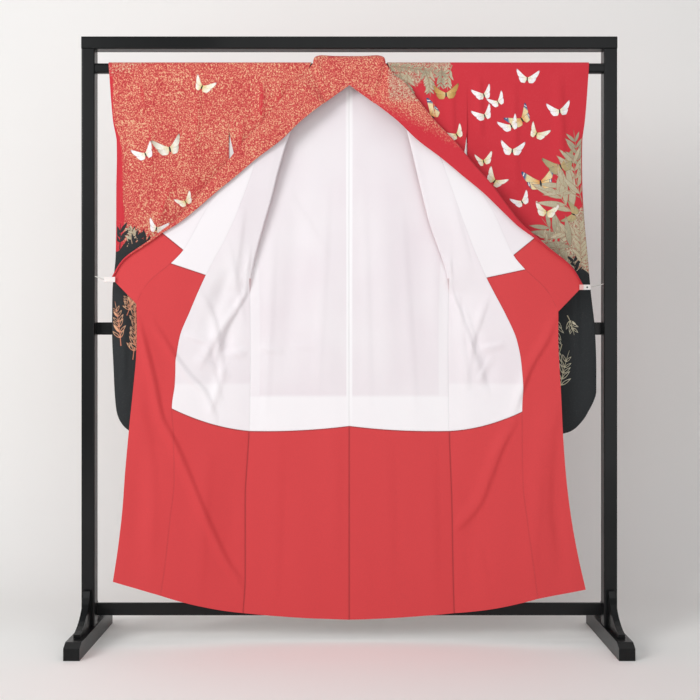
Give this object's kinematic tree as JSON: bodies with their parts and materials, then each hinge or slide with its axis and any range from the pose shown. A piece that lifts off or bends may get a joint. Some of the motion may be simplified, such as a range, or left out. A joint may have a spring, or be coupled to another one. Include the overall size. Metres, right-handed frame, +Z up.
{
  "type": "furisode on a kimono stand",
  "caption": "Long-sleeved silk kimono hung over the rod of a lacquered stand, its fronts opened outwards to show the white and red linings.",
  "frame": {"origin": "on the floor, midway between the four ends of the stand's two feet", "axes": "+Z up, +X along the hanging rod to the viewer's right, +Y away from the viewer, towards the garment's outside back"},
  "size_m": [1.538, 0.42, 1.733],
  "materials": {
    "figured_silk": "red crepe silk with gold dusting and a black lower ground",
    "white_lining": "thin white silk lining, soft sheen",
    "red_lining": "coral red silk lining, soft sheen",
    "lacquer": "black lacquer, glossy",
    "clip": "white moulded plastic",
    "string": "white twisted cotton"
  },
  "bodies": {
    "root": {"top_rail": "lacquer", "hanging_rod": "lacquer", "mid_rail": "lacquer", "bottom_rail": "lacquer", "post_left": "lacquer", "post_right": "lacquer", "foot_left": "lacquer", "foot_right": "lacquer", "brace_front_left": "lacquer", "brace_front_right": "lacquer", "brace_back_left": "lacquer", "brace_back_right": "lacquer", "back_left": "figured_silk", "back_right": "figured_silk", "front_left": "figured_silk", "front_right": "figured_silk", "okumi_left": "figured_silk", "okumi_right": "figured_silk", "collar_left": "figured_silk", "collar_right": "figured_silk", "sleeve_front_left": "figured_silk", "sleeve_front_right": "figured_silk", "sleeve_back_left": "figured_silk", "sleeve_back_right": "figured_silk", "back_lining_left": "white_lining", "back_lining_right": "white_lining", "front_lining_left": "white_lining", "front_lining_right": "white_lining", "okumi_lining_left": "white_lining", "okumi_lining_right": "white_lining", "collar_lining_left": "white_lining", "collar_lining_right": "white_lining", "sleeve_lining_left": "white_lining", "sleeve_lining_right": "white_lining", "back_hem_lining_left": "red_lining", "back_hem_lining_right": "red_lining", "front_hem_lining_left": "red_lining", "front_hem_lining_right": "red_lining", "okumi_hem_lining_left": "red_lining", "okumi_hem_lining_right": "red_lining", "collar_end_lining_left": "red_lining", "collar_end_lining_right": "red_lining", "clip_left": "clip", "clip_right": "clip", "string_left": "string", "string_right": "string"}
  },
  "joints": []
}
